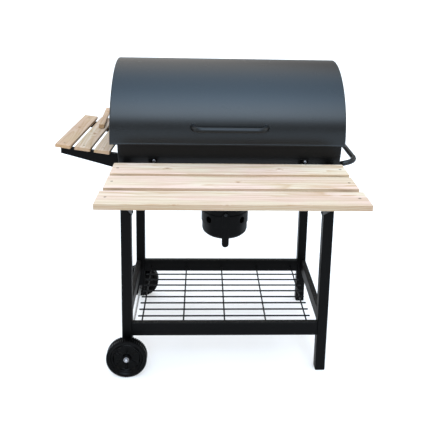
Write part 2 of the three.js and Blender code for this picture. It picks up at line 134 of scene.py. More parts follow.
# ---- Materials -------------------------------------------------------------------------------
def enamel(name, colour, worn, dust, rough, specular, tint, orange_peel, wear=0.35, dusty=0.1):
    """Sprayed heat-proof paint: orange peel, uneven gloss, dust on top and rubbed edges."""
    s = Shader(name)
    cloud = s.noise(4, 3)
    fine = s.noise(900, 2)
    peel = s.noise(330, 2, roughness=0.4)
    scuffs = s.ramp(s.noise(60, 6, stretch=(0.25, 1, 1), roughness=0.7), 0.60, 0.74)
    edge = s.math("MULTIPLY", s.edges(0.0016), s.ramp(s.noise(140, 4), 0.42, 0.66))
    base = s.blend(s.ramp(cloud, 0.3, 0.7, 0.0, 0.5), colour, tuple(c * 1.3 for c in colour[:3]) + (1,))
    settled = s.math("MULTIPLY", s.ramp(s.facing_up(), 0.5, 1.0),
                     s.ramp(s.noise(150, 6, roughness=0.7), 0.35, 0.8))
    base = s.blend(s.math("MULTIPLY", settled, dusty), base, dust)
    base = s.blend(s.math("MULTIPLY", edge, wear), base, worn)
    gloss = s.math("ADD", s.ramp(cloud, 0.25, 0.75, rough - 0.01, rough + 0.02),
                   s.math("MULTIPLY", scuffs, 0.05))
    gloss = s.math("ADD", gloss, s.math("MULTIPLY", fine, 0.03))
    height = s.math("ADD", peel, s.math("MULTIPLY", fine, 0.25))
    return s.surface(Base_Color=base, Roughness=gloss, Specular_IOR_Level=specular,
                     Specular_Tint=tint, Normal=s.bump(height, orange_peel))


def pine(name, seed, along="X", pith=(0.02, -0.05), slope=0.02, knots=(), shade=1.0, tan=0.0):
    """Planed pine: growth rings cut by the board's faces, fibres, knots and pink and yellow drift, with
    painted shade on the sides and a shade factor that paints light per board.
    """
    s = Shader(name)
    turn = (0, 0, 0) if along == "X" else (0, 0, math.radians(-90))
    place = s.add("ShaderNodeMapping", {"Vector": s.coords, "Rotation": turn}).outputs[0]
    length, across, depth = s.add("ShaderNodeSeparateXYZ", {0: place}).outputs[:3]
    offset = (seed * 1.7, seed * 0.9, seed * 2.3)
    wander = s.noise(1.0, 3, stretch=(2.2, 14, 14), offset=offset, vector=place)
    swirl = s.math("MULTIPLY", s.math("SUBTRACT", wander, 0.5), 0.022)
    knot_mask, knot_heart = 0.0, 0.0
    for *knot_centre, knot_radius in knots:
        away = s.add("ShaderNodeVectorMath", {0: place, 1: knot_centre}, operation="SUBTRACT").outputs[0]
        away = s.add("ShaderNodeVectorMath", {0: away, 1: (0.6, 1.0, 0.8)}, operation="MULTIPLY").outputs[0]
        distance = s.add("ShaderNodeVectorMath", {0: away}, operation="LENGTH").outputs["Value"]
        near = s.ramp(distance, knot_radius * 5, knot_radius, 0.0, 1.0)
        swirl = s.math("ADD", swirl, s.math("MULTIPLY", near, knot_radius * 1.3))
        knot_mask = s.math("MAXIMUM", knot_mask, s.ramp(distance, knot_radius * 2.2, knot_radius * 0.8))
        knot_heart = s.math("MAXIMUM", knot_heart, s.ramp(distance, knot_radius, knot_radius * 0.5))
    y = s.math("ADD", s.math("SUBTRACT", across, pith[0]), s.math("MULTIPLY", length, slope))
    z = s.math("SUBTRACT", depth, pith[1])
    radius = s.math("SQRT", s.math("ADD", s.math("MULTIPLY", y, y), s.math("MULTIPLY", z, z)))
    rings = s.math("FRACT", s.math("MULTIPLY", s.math("ADD", radius, swirl), 1 / 0.0046))
    late = s.math("POWER", rings, 2.6)
    late = s.math("MULTIPLY", late, s.ramp(rings, 1.0, 0.9))
    fibre = s.noise(1.0, 4, stretch=(26, 1100, 1100), offset=offset, roughness=0.7, vector=place)
    streak = s.noise(1.0, 3, stretch=(2.5, 90, 90), offset=offset, vector=place)
    drift = s.noise(1.0, 2, stretch=(5, 16, 16), offset=offset, vector=place)
    pale = s.blend(s.ramp(drift, 0.35, 0.65), rgb(209, 197, 177), rgb(212, 189, 177))
    base = s.blend(s.math("MULTIPLY", late, 0.8), pale, rgb(170, 136, 98))
    base = s.blend(s.ramp(streak, 0.42, 0.66, 0.0, 0.5), base, rgb(168, 138, 104))
    base = s.blend(s.ramp(fibre, 0.35, 0.8, 0.0, 0.28), base, rgb(150, 120, 86))
    base = s.blend(s.math("MULTIPLY", knot_mask, 0.5), base, rgb(146, 104, 64))
    base = s.blend(s.math("MULTIPLY", knot_heart, 0.65), base, rgb(92, 60, 36))
    base = s.blend(s.math("MULTIPLY", s.edges(0.0015), 0.25), base, rgb(160, 134, 100))
    # Painted shade: faces that don't look up are darkened towards brown, so the board's sides read darker
    # than its lit top.
    painted_side_shade = s.ramp(s.math("ABSOLUTE", s.facing_up()), 0.75, 0.35)
    base = s.blend(s.math("MULTIPLY", painted_side_shade, 0.55), base, rgb(128, 98, 60))
    base = s.blend(tan, base, rgb(178, 132, 76))
    # Painted light: shade scales the whole board's colour, brighter or darker per board.
    base = s.add("ShaderNodeHueSaturation", {"Color": base, "Value": shade}).outputs[0]
    height = s.math("ADD", s.math("MULTIPLY", fibre, 0.7), s.math("MULTIPLY", late, 0.5))
    rough = s.math("ADD", s.ramp(fibre, 0.3, 0.8, 0.52, 0.66), s.math("MULTIPLY", late, 0.06))
    return s.surface(Base_Color=base, Roughness=rough, Specular_IOR_Level=0.35,
                     Normal=s.bump(height, 0.00035))


def plastic(name, colour, rough):
    """Moulded plastic with a fine spark-eroded grain and lighter rubbed edges."""
    s = Shader(name)
    grain = s.noise(1500, 3, roughness=0.7)
    cloud = s.noise(40, 4)
    base = s.blend(s.ramp(cloud, 0.3, 0.75, 0.0, 0.6), colour, rgb(5, 5, 6))
    base = s.blend(s.math("MULTIPLY", s.edges(0.0012), 0.3), base, rgb(46, 47, 49))
    dusty = s.math("MULTIPLY", s.ramp(s.noise(75, 5), 0.5, 0.8), 0.03)
    base = s.blend(dusty, base, rgb(90, 87, 80))
    gloss = s.ramp(cloud, 0.2, 0.8, rough - 0.06, rough + 0.08)
    return s.surface(Base_Color=base, Roughness=gloss, Specular_IOR_Level=0.07,
                     Normal=s.bump(grain, 0.00012))


def zinc_plate(name, light=(222, 224, 226), dark=(168, 172, 176)):
    """Bright zinc on steel: mottled spangle and fine scratches."""
    s = Shader(name)
    spangle = s.add("ShaderNodeTexVoronoi", {"Vector": s.coords, "Scale": 420.0}).outputs["Color"]
    tone = s.add("ShaderNodeSeparateColor", {0: spangle}).outputs[0]
    scratch = s.noise(1.0, 4, stretch=(180, 2600, 2600))
    base = s.blend(s.ramp(tone, 0, 1, 0.0, 0.35), rgb(*light), rgb(*dark))
    gloss = s.math("ADD", s.ramp(tone, 0, 1, 0.2, 0.3), s.math("MULTIPLY", scratch, 0.12))
    return s.surface(Base_Color=base, Metallic=1.0, Roughness=gloss, Normal=s.bump(scratch, 0.00008))


def dull_screw(name):
    """Yellow passivated screws gone brown and dull, lighter along their edges."""
    s = Shader(name)
    stain = s.noise(700, 4, roughness=0.7)
    base = s.blend(s.ramp(stain, 0.35, 0.7), rgb(122, 106, 84), rgb(86, 72, 58))
    base = s.blend(s.math("MULTIPLY", s.edges(0.0006), 0.3), base, rgb(150, 140, 124))
    gloss = s.ramp(stain, 0.3, 0.7, 0.45, 0.65)
    return s.surface(Base_Color=base, Metallic=0.4, Roughness=gloss, Normal=s.bump(stain, 0.0001))


def seasoned_iron(name):
    """Rough dark iron with burnt-on fat, browner and duller in patches."""
    s = Shader(name)
    crust = s.noise(130, 6, roughness=0.7)
    patch = s.noise(18, 4)
    base = s.blend(s.ramp(patch, 0.35, 0.7), rgb(44, 43, 42), rgb(66, 56, 48))
    base = s.blend(s.math("MULTIPLY", s.edges(0.001), 0.4), base, rgb(120, 116, 112))
    gloss = s.ramp(patch, 0.3, 0.7, 0.42, 0.7)
    return s.surface(Base_Color=base, Metallic=0.35, Roughness=gloss, Normal=s.bump(crust, 0.0003))


MATERIALS = {
    "lid_paint": enamel("lid_enamel", rgb(9, 9, 9), rgb(90, 92, 94), rgb(120, 116, 110), 0.24,
                        0.375, (0.86, 0.94, 1.0, 1.0), 0.00004, wear=0.2, dusty=0.01),
    "handle_paint": enamel("handle_enamel", rgb(10, 10, 10), rgb(90, 92, 94), rgb(90, 88, 84), 0.34,
                           0.30, (0.88, 0.95, 1.0, 1.0), 0.00006, wear=0.25, dusty=0.02),
    "frame_paint": enamel("frame_enamel", rgb(4, 4, 4), rgb(60, 60, 62), rgb(80, 78, 74), 0.42,
                          0.07, (0.98, 0.98, 1.0, 1.0), 0.00010, wear=0.3, dusty=0.45),
    "trough_paint": enamel("trough_enamel", rgb(7, 7, 7), rgb(60, 60, 62), rgb(80, 78, 74), 0.40,
                           0.17, (0.98, 0.98, 1.0, 1.0), 0.00010, wear=0.3, dusty=0.1),
    "black_plastic": plastic("wheel_plastic", rgb(1, 1, 1), 0.22),
    "zinc": zinc_plate("zinc_plate"),
    "bolt": zinc_plate("dull_zinc_plate", (172, 172, 176), (112, 113, 116)),
    "screw": dull_screw("dull_screw"),
    "wire": enamel("wire_coating", rgb(8, 8, 8), rgb(70, 70, 72), rgb(90, 88, 84), 0.4,
                   0.14, (0.95, 0.97, 1.0, 1.0), 0.00008, wear=0.2, dusty=0.04),
    "grate_iron": seasoned_iron("seasoned_iron"),
}


# ---- Making pieces ---------------------------------------------------------------------------
def piece(name, mesh, body, slot, material=None, replaces=(), weighted=True):
    """A new visible object: it rides on a body, takes a slot's finish and may stand for CAD nodes."""
    obj = bpy.data.objects.new(name, mesh)
    bpy.context.scene.collection.objects.link(obj)
    mesh.materials.clear()
    mesh.materials.append(material or MATERIALS[slot])
    for polygon in mesh.polygons:
        polygon.use_smooth = True
    if weighted:
        obj.modifiers.new("even_normals", "WEIGHTED_NORMAL").keep_sharp = True
    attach(obj, body)
    if replaces:
        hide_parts(*replaces)
    return obj


def mesh_of(name, vertices, faces):
    mesh = bpy.data.meshes.new(name)
    mesh.from_pydata([tuple(v) for v in vertices], [], faces)
    mesh.validate()
    bm = bmesh.new()
    bm.from_mesh(mesh)
    bmesh.ops.recalc_face_normals(bm, faces=bm.faces)
    bm.to_mesh(mesh)
    bm.free()
    return mesh


def rings_mesh(name, rings, closed=False):
    """A skin over rings of equally many points: a closed loop of rings, or one capped at its ends."""
    count = len(rings[0])
    vertices = [point for ring in rings for point in ring]
    faces = []
    spans = len(rings) if closed else len(rings) - 1
    for i in range(spans):
        a, b = i * count, ((i + 1) % len(rings)) * count
        faces += [(a + j, a + (j + 1) % count, b + (j + 1) % count, b + j) for j in range(count)]
    if not closed:
        faces.append(tuple(range(count - 1, -1, -1)))
        faces.append(tuple(range((len(rings) - 1) * count, len(rings) * count)))
    return mesh_of(name, vertices, faces)


def arc(centre, radius, start, end, steps):
    """Points on a circle, from start to end in degrees, as (u, v)."""
    angles = (math.radians(start + (end - start) * i / steps) for i in range(steps + 1))
    return [(centre[0] + radius * math.cos(a), centre[1] + radius * math.sin(a)) for a in angles]


def rounded_path(corners, bend, steps=10):
    """A path of straight runs whose corners are rounded by quadratic curves."""
    points = [Vector(corners[0])]
    for before, corner, after in zip(corners, corners[1:], corners[2:]):
        before, corner, after = Vector(before), Vector(corner), Vector(after)
        enter = corner + (before - corner).normalized() * bend
        leave = corner + (after - corner).normalized() * bend
        for i in range(steps + 1):
            t = i / steps
            points.append(enter * (1 - t) ** 2 + corner * 2 * t * (1 - t) + leave * t * t)
    points.append(Vector(corners[-1]))
    return points


def swept(path, radius, sides=24):
    """Rings of a round bar along a path, without twist."""
    rings = []
    up = None
    for i, point in enumerate(path):
        ahead = (path[min(i + 1, len(path) - 1)] - path[max(i - 1, 0)]).normalized()
        if up is None:
            up = ahead.orthogonal().normalized()
        up = (up - ahead * up.dot(ahead)).normalized()
        side = ahead.cross(up)
        rings.append([point + (up * math.cos(a) + side * math.sin(a)) * radius
                      for a in (2 * math.pi * j / sides for j in range(sides))])
    return rings


def turned(profile, centre, axis, sides=64):
    """Rings of a closed profile of (radius, height) turned round an axis, ready for rings_mesh."""
    axis = Vector(axis).normalized()
    u = axis.orthogonal().normalized()
    v = axis.cross(u)
    return [[Vector(centre) + axis * h + (u * math.cos(a) + v * math.sin(a)) * r for r, h in profile]
            for a in (2 * math.pi * i / sides for i in range(sides))]


def joined(name, meshes):
    """Several meshes in one."""
    bm = bmesh.new()
    for mesh in meshes:
        bm.from_mesh(mesh)
        bpy.data.meshes.remove(mesh)
    whole = bpy.data.meshes.new(name)
    bm.to_mesh(whole)
    bm.free()
    return whole


def rounded_block(name, low, high, radius, cuts=0, wave=0.0, seed=0):
    """A planed board: rounded edges, cut along its longest side, and bowed by a hair."""
    low, high = Vector(low), Vector(high)
    bm = bmesh.new()
    bmesh.ops.create_cube(bm, size=1.0)
    size = high - low
    bmesh.ops.scale(bm, vec=size, verts=bm.verts)
    longest = max(range(3), key=lambda i: size[i])
    if cuts:
        runs = [e for e in bm.edges if abs((e.verts[0].co - e.verts[1].co)[longest]) > size[longest] * 0.9]
        bmesh.ops.subdivide_edges(bm, edges=runs, cuts=cuts, use_grid_fill=True)
    bmesh.ops.bevel(bm, geom=[e for e in bm.edges if e.calc_face_angle(0) > 1], offset=radius,
                    segments=3, profile=0.5, affect="EDGES")
    draw = random.Random(seed)
    phase = [draw.uniform(0, 6.28) for _ in range(6)]
    middle = (low + high) / 2
    for vertex in bm.verts:
        t = vertex.co[longest] / size[longest] * 2 * math.pi
        for k in range(3):
            if k != longest:
                bow = math.sin(t * 1.3 + phase[k]) + 0.5 * math.sin(t * 3.1 + phase[k + 3])
                vertex.co[k] += wave * bow
        vertex.co += middle
    mesh = bpy.data.meshes.new(name)
    bm.to_mesh(mesh)
    bm.free()
    return mesh


def dress(node, bevel, material, segments):
    """A CAD node that stays: its edges are softened by modifiers and it gets its slot's material."""
    obj = NODES[node]
    obj.data.materials.clear()
    obj.data.materials.append(material or MATERIALS[SLOT[node]])
    for polygon in obj.data.polygons:
        polygon.use_smooth = True
    weld = obj.modifiers.new("weld", "WELD")
    weld.merge_threshold = 1e-5
    merge = obj.modifiers.new("merge_flats", "DECIMATE")
    merge.decimate_type = "DISSOLVE"
    merge.angle_limit = math.radians(0.5)
    soften = obj.modifiers.new("soften", "BEVEL")
    soften.width = bevel * MM
    soften.segments = segments
    soften.limit_method = "ANGLE"
    soften.angle_limit = math.radians(32)
    soften.use_clamp_overlap = True
    obj.modifiers.new("even_normals", "WEIGHTED_NORMAL").keep_sharp = True


# ---- Barrel: where it is ---------------------------------------------------------------------
lid_low, lid_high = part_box("lid_shell")
trough_low, trough_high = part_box("trough_shell")
AXIS_Y = (lid_low.y + lid_high.y) / 2
AXIS_Z = trough_high.z
LID_R = (lid_high.y - lid_low.y) / 2
TROUGH_R = (trough_high.y - trough_low.y) / 2
SHEET = 2 * MM
CORNER = 4 * MM                    # the sheets' ends are rolled over the end plates by this radius
LID_DISH = 2.5 * MM
ASH_HOLE_R = 70 * MM
LID_X = (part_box("lid_end_left")[0].x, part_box("lid_end_right")[1].x)
TROUGH_X = (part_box("trough_end_left")[0].x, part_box("trough_end_right")[1].x)
MIDDLE_X = (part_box("leg_front_left")[0].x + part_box("leg_front_right")[1].x) / 2


def barrel_point(x, radius, degrees):
    """A point round the barrel's axis. 0 degrees is behind, 90 is on top, 180 is in front."""
    a = math.radians(degrees)
    return Vector((x, AXIS_Y + radius * math.cos(a), AXIS_Z + radius * math.sin(a)))


def barrel_sheet(name, ends, radius, stations, corner=CORNER):
    """A rolled sheet with rounded ends. stations are (degrees, outward swell) round the barrel."""
    x0, x1 = ends
    rings = []
    for degrees, swell in stations:
        outer = arc((x0 + corner, radius - corner), corner, 180, 90, 6)
        outer += arc((x1 - corner, radius - corner), corner, 90, 0, 6)
        inner = arc((x1 - corner, radius - corner), corner - SHEET, 0, 90, 3)
        inner += arc((x0 + corner, radius - corner), corner - SHEET, 90, 180, 3)
        ring = [barrel_point(x, r + swell, degrees) for x, r in outer]
        ring += [barrel_point(x, r, degrees) for x, r in inner]
        rings.append(ring)
    return rings_mesh(name, rings)


def even(start, end, steps):
    return [(start + (end - start) * i / steps, 0.0) for i in range(steps + 1)]


def hem(edge, radius, away, height=5 * MM, swell=0.9 * MM):
    """Stations of a folded hem that ends at an edge angle; away is the side that the sheet is on."""
    profile = ((1.12, 0), (1.06, 0.45), (0.98, 0.85), (0.88, 1), (0.22, 1), (0.1, 0.85),
               (0.03, 0.5), (0, 0.1))
    return [(edge + away * math.degrees(part * height / radius), share * swell) for part, share in profile]


def barrel_cap(name, x, outward, radius, start, end, chord_z, dish=0.0):
    """A pressed end plate: a disc segment above or below a chord, with an optional shallow dish."""
    rim = [barrel_point(0, radius, start + (end - start) * i / 60) for i in range(61)]
    outline = [Vector((p.y, p.z)) for p in rim]
    if chord_z is not None:
        half = outline[-1].x - AXIS_Y
        outline.append(Vector((AXIS_Y - half, chord_z)))
    centre = sum(outline, Vector((0, 0))) / len(outline)
    layers = ((1.0, 0.0), (0.90, 0.0), (0.885, 0.4), (0.87, 0.9), (0.855, 1.0), (0.5, 1.0))
    outer, inner = [], []
    for share, depth in layers:
        ring = [centre + (p - centre) * share for p in outline]
        outer.append([(x - outward * dish * depth, p.x, p.y) for p in ring])
        inner.append([(x - outward * (dish * depth + SHEET), p.x, p.y) for p in ring])
    return rings_mesh(name, inner[::-1] + outer)


# ---- Lid ---------------------------------------------------------------------------------------
LID_FRONT = 180 + math.degrees(math.asin((AXIS_Z - lid_low.z) / LID_R))
LID_REAR = math.degrees(math.asin(3 * MM / LID_R))


def make_lid():
    front = hem(LID_FRONT, LID_R, -1)
    stations = even(LID_REAR, front[0][0], 96)[:-1] + front
    shell = barrel_sheet("lid_skin", LID_X, LID_R, stations)
    piece("lid_skin", shell, "lid", "lid_paint", replaces=["lid_shell"])
    for (side, sign), x in zip(SIDES, LID_X):
        cap = barrel_cap(f"lid_cap_{side}", x, sign, LID_R - CORNER, LID_REAR, LID_FRONT, lid_low.z,
                         dish=LID_DISH)
        piece(f"lid_cap_{side}", cap, "lid", "lid_paint", replaces=[f"lid_end_{side}"])


def make_trough():
    stations = even(180, 360, 90)
    shell = barrel_sheet("trough_skin", TROUGH_X, TROUGH_R, stations)
    drill = ((0, -0.2), (ASH_HOLE_R, -0.2), (ASH_HOLE_R, 0.2), (0, 0.2))
    hole = rings_mesh("hole", turned(drill, (MIDDLE_X, AXIS_Y, AXIS_Z - TROUGH_R), (0, 0, 1), 64),
                      closed=True)
    obj = piece("trough_skin", shell, "stand", "frame_paint", MATERIALS["trough_paint"],
                ["trough_shell"], weighted=False)
    cut_out(obj, hole)
    obj.modifiers.new("even_normals", "WEIGHTED_NORMAL").keep_sharp = True
    for (side, sign), x in zip(SIDES, TROUGH_X):
        cap = barrel_cap(f"trough_cap_{side}", x, sign, TROUGH_R - CORNER, 180, 360, None)
        piece(f"trough_cap_{side}", cap, "stand", "frame_paint", MATERIALS["trough_paint"],
              [f"trough_end_{side}"])


def cut_out(obj, cutter_mesh):
    """Cuts a mesh out of an object and keeps only the result."""
    cutter = bpy.data.objects.new("cutter", cutter_mesh)
    bpy.context.scene.collection.objects.link(cutter)
    cut = obj.modifiers.new("cut", "BOOLEAN")
    cut.operation = "DIFFERENCE"
    cut.object = cutter
    cut.solver = "EXACT"
    depsgraph = bpy.context.evaluated_depsgraph_get()
    result = bpy.data.meshes.new_from_object(obj.evaluated_get(depsgraph))
    obj.modifiers.remove(cut)
    obj.data = result
    bpy.data.objects.remove(cutter)


def round_bar(name, path, radius, body, replaces, extras=()):
    bar = rings_mesh(name, swept(path, radius))
    piece(name, joined(name, [bar, *extras]), body, "frame_paint", MATERIALS["handle_paint"], replaces)


def flange(centre, axis, radius, thick):
    """A small round foot plate with soft edges."""
    profile = [(0, 0), (radius, 0), (radius, thick * 0.6), (radius - thick * 0.4, thick), (0, thick)]
    return rings_mesh("flange", turned(profile, centre, axis, 40), closed=True)


BAR_RADIUS = 9 * MM
LID_BAR_BEND = 34 * MM
PUSH_BAR_BEND = 42 * MM
PUSH_FLANGE = 12 * MM


def make_handles():
    bar = BAR_RADIUS
    low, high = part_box("lid_handle")
    z = low.z + bar
    y = low.y + bar
    half = (high.x - low.x) / 2 - bar
    root_angle = 180 - math.degrees(math.asin((z + MM - AXIS_Z) / LID_R))
    middle = (low.x + high.x) / 2
    roots = [barrel_point(middle + s * half, LID_R, root_angle) for s in (-1, 1)]
    corners = [roots[0], (middle - half, y, z), (middle + half, y, z), roots[1]]
    outward = (barrel_point(0, 1, root_angle) - barrel_point(0, 0, root_angle))
    feet = [flange(root + outward * 0.2 * MM, outward, 10.5 * MM, 1.2 * MM) for root in roots]
    round_bar("lid_bar_handle", rounded_path(corners, LID_BAR_BEND, 14), bar, "lid", ["lid_handle"], feet)

    low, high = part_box("push_handle")
    x, z = high.x - bar, high.z - bar
    middle = (low.y + high.y) / 2
    reach = (high.y - low.y) / 2 - bar
    root_z = low.z + PUSH_FLANGE
    roots = [(low.x, middle + s * reach, root_z) for s in (-1, 1)]
    corners = [roots[0], (x, middle - reach, z), (x, middle + reach, z), roots[1]]
    feet = [flange(root, (1, 0, 0), PUSH_FLANGE, 3 * MM) for root in roots]
    round_bar("push_bar_handle", rounded_path(corners, PUSH_BAR_BEND, 16), bar, "stand",
              ["push_handle"], feet)


# ---- Wheels ------------------------------------------------------------------------------------
WHEEL_KNOBS = 56
STEPS_PER_KNOB = 4
WHEEL_RIBS = 6
# Radius and height over the inner face in millimetres, then how deep the tread is cut there.
WHEEL_SECTION = (
    (5.5, 30.5, 0), (12, 30.5, 0), (14, 29.5, 0), (15, 27, 0), (15.6, 21, 0), (20, 19.5, 0),
    (28, 19.2, 0), (30, 20.6, 0), (32, 19.2, 0), (42, 19.5, 0), (45, 21.5, 0), (47, 26, 0),
    (49, 28, 0), (51.5, 28.2, 0), (53, 25.6, 0), (55, 26.0, 0), (57, 29.6, 0), (60, 31.0, 0),
    (64.5, 31.8, 0), (68, 31.6, 2.4), (69.6, 30.6, 4.2), (70, 29, 4.6), (70, 19, 4.6), (68.6, 17.5, 0),
    (68.6, 14.5, 0), (70, 13, 4.6), (70, 3, 4.6), (69.6, 1.4, 4.2), (68, 0.4, 2.4), (64.5, 0.2, 0),
    (60, 0.4, 0), (56, 3, 0), (53, 5, 0), (50, 9, 0), (46, 12, 0), (30, 13, 0), (16, 13, 0),
    (15, 9, 0), (14, 1, 0), (5.5, 0.5, 0),
)


def make_wheel(end, sign):
    low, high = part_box(f"wheel_{end}")
    axle_low, axle_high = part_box("axle")
    centre_x = (axle_low.x + axle_high.x) / 2
    centre_z = (axle_low.z + axle_high.z) / 2
    inner = high.y if sign < 0 else low.y
    steps = WHEEL_KNOBS * STEPS_PER_KNOB
    rings = []
    for k in range(steps):
        angle = 2 * math.pi * k / steps
        ring = []
        for radius, height, cut in WHEEL_SECTION:
            shifted = k if height > 16 else k + STEPS_PER_KNOB // 2
            in_gap = shifted % STEPS_PER_KNOB == 0
            r = radius - (cut if in_gap else 0)
            if 20 <= radius <= 42 and height > 16:
                rib = max(0.0, math.cos(angle * WHEEL_RIBS)) ** 6
                height += 4.5 * rib
            ring.append((centre_x + r * MM * math.sin(angle), inner + sign * height * MM,
                         centre_z + r * MM * math.cos(angle)))
        rings.append(ring)
    mesh = rings_mesh(f"moulded_wheel_{end}", rings, closed=True)
    piece(f"moulded_wheel_{end}", mesh, f"wheel_{end}", "black_plastic", replaces=[f"wheel_{end}"])


def make_dome_nut(end, sign):
    low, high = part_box(f"axle_nut_{end}")
    centre = ((low.x + high.x) / 2, low.y if sign > 0 else high.y, (low.z + high.z) / 2)
    axis = (0, sign, 0)
    dome = [(0, 0), (8.2, 0), (8.2, 1.2)] + arc((0, 1.8), 7.6, 0, 90, 8)
    skirt = rings_mesh("skirt", turned([(0, 0), (9.4, 0), (9.4, 0.9), (8.8, 1.4), (0, 1.4)],
                                       (0, 0, 0), axis, 48), closed=True)
    cap = rings_mesh("cap", turned(dome, (0, 0, 0), axis, 48), closed=True)
    mesh = joined(f"dome_nut_{end}", [skirt, cap])
    mesh.transform(Matrix.Translation(centre) @ Matrix.Diagonal((MM, MM, MM, 1)))
    piece(f"dome_nut_{end}", mesh, "stand", "zinc", MATERIALS["bolt"], replaces=[f"axle_nut_{end}"])


# ---- Wooden slats and their screws ---------------------------------------------------------------
def screw(centre, axis, radius=4.2 * MM):
    """A countersunk screw head, just proud of the wood and dished in the middle."""
    head = [(0, -2), (1.6, -2), (3.9, -0.4), (4.2, 0.1), (3.6, 0.35), (2.2, 0.4), (1.4, 0.1),
            (0.9, -0.9), (0, -1.1)]
    profile = [(r / 4.2 * radius, h * MM) for r, h in head]
    return rings_mesh("screw", turned(profile, centre, axis, 24), closed=True)


# shade is painted light: the rear slat is brightened most, the middle one less.
FRONT_SLATS = {
    "table_slat_rear": dict(seed=1, pith=(0.03, -0.10), slope=0.030, shade=1.15,
                            knots=((-0.20, 0.0, 0.004), (0.16, 0.0, 0.003))),
    "table_slat_middle": dict(seed=2, pith=(-0.04, -0.07), slope=-0.022, shade=1.06,
                              knots=((0.02, 0.0, 0.003),)),
    "table_slat_front": dict(seed=3, pith=(0.05, -0.09), slope=0.026, shade=1.0,
                             knots=((-0.165, -0.052, 0.0026), (-0.02, -0.052, 0.0022))),
}


SCREW_SHIFT = 18 * MM              # the screws sit outside the middle of the arms


def make_front_table():
    arms = [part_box(f"table_arm_{side}") for side, _ in SIDES]
    for number, (node, look) in enumerate(FRONT_SLATS.items()):
        low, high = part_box(node)
        middle = (low + high) / 2
        knots = [(middle.x + x, middle.y + y, high.z, r) for x, y, r in look["knots"]]
        wood = pine(f"pine_{node}", look["seed"], pith=(middle.y + look["pith"][0],
                    middle.z + look["pith"][1]), slope=look["slope"], knots=knots, shade=look["shade"])
        board = rounded_block(node, low, high, 2.2 * MM, cuts=23, wave=0.15 * MM, seed=number)
        piece(f"planed_{node}", board, "stand", "pine", material=wood, replaces=[node])
        heads = []
        for arm_low, arm_high in arms:
            x = (arm_low.x + arm_high.x) / 2 + math.copysign(SCREW_SHIFT, arm_low.x - MIDDLE_X)
            heads.append(screw((x, middle.y, high.z), (0, 0, 1)))
        piece(f"screws_{node}", joined(f"screws_{node}", heads), "stand", "zinc", MATERIALS["screw"])


def tilted_board(node):
    """A board of the tilted side table, from its mesh: its own axes, and its corners along them."""
    points = [v.co for v in NODES[node].data.vertices]
    normals = [p.normal.copy() for p in NODES[node].data.polygons]
    up = max(normals, key=lambda n: n.z)
    along = max(normals, key=lambda n: n.y)
    side = along.cross(up).normalized()
    basis = Matrix((side, along, up)).transposed()
    local = [basis.transposed() @ p for p in points]
    low = Vector([min(p[i] for p in local) for i in range(3)])
    high = Vector([max(p[i] for p in local) for i in range(3)])
    return basis.to_4x4(), low, high


def make_side_table():
    brackets = [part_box(f"side_bracket_{end}") for end, _ in ENDS]
    boards = ("side_slat_inner", "side_slat_middle", "side_slat_outer", "side_batten")
    for number, node in enumerate(boards):
        basis, low, high = tilted_board(node)
        middle = (low + high) / 2
        centre = basis @ middle
        # shade=0.88 darkens these boards' colour as painted shade; tan warms their tone.
        wood = pine(f"pine_{node}", 11 + number, along="Y",
                    pith=(0.02 * (number - 1) - centre.x, centre.z - 0.05), slope=0.02 * (-1) ** number,
                    knots=((centre.y + 0.05 * number - 0.08, -centre.x, centre.z + 0.006, 0.004),),
                    shade=0.88, tan=0.2 if number < 2 else 0.42)
        board = rounded_block(node, low, high, 1.8 * MM, cuts=17, wave=0.12 * MM, seed=20 + number)
        obj = piece(f"planed_{node}", board, "stand", "pine", material=wood, replaces=[node])
        obj.data.transform(basis)
        if node == "side_batten":
            continue
        heads = []
        for bracket_low, bracket_high in brackets:
            y = (bracket_low.y + bracket_high.y) / 2
            top = basis @ Vector((middle.x, 0, high.z))
            along = basis.col[1].xyz
            heads.append(screw(top + along * ((y - top.y) / along.y), basis.col[2].xyz, 3.4 * MM))
        piece(f"screws_{node}", joined(f"screws_{node}", heads), "stand", "zinc", MATERIALS["screw"])


# ---- Rivets and bolt heads -------------------------------------------------------------------------
def button(centre, axis, radius=5 * MM, height=2.4 * MM):
    """A domed rivet or bolt head that sits on a face."""
    profile = [(0, -0.5 * MM), (radius, -0.5 * MM), (radius, height * 0.15)]
    profile += [(radius * math.cos(a), height * (0.2 + 0.8 * math.sin(a)))
                for a in (math.radians(15 * i) for i in range(1, 6))] + [(0, height)]
    return rings_mesh("button", turned(profile, centre, axis, 24), closed=True)


HINGE_LEAF = 2.8 * MM              # a hinge's leaf and the gap under it
HINGE_RIVET_X = 14 * MM
LEG_BOLT_DROP = 30 * MM
STRUT_INSET = 11 * MM
BRACKET_SHEET = 2.5 * MM


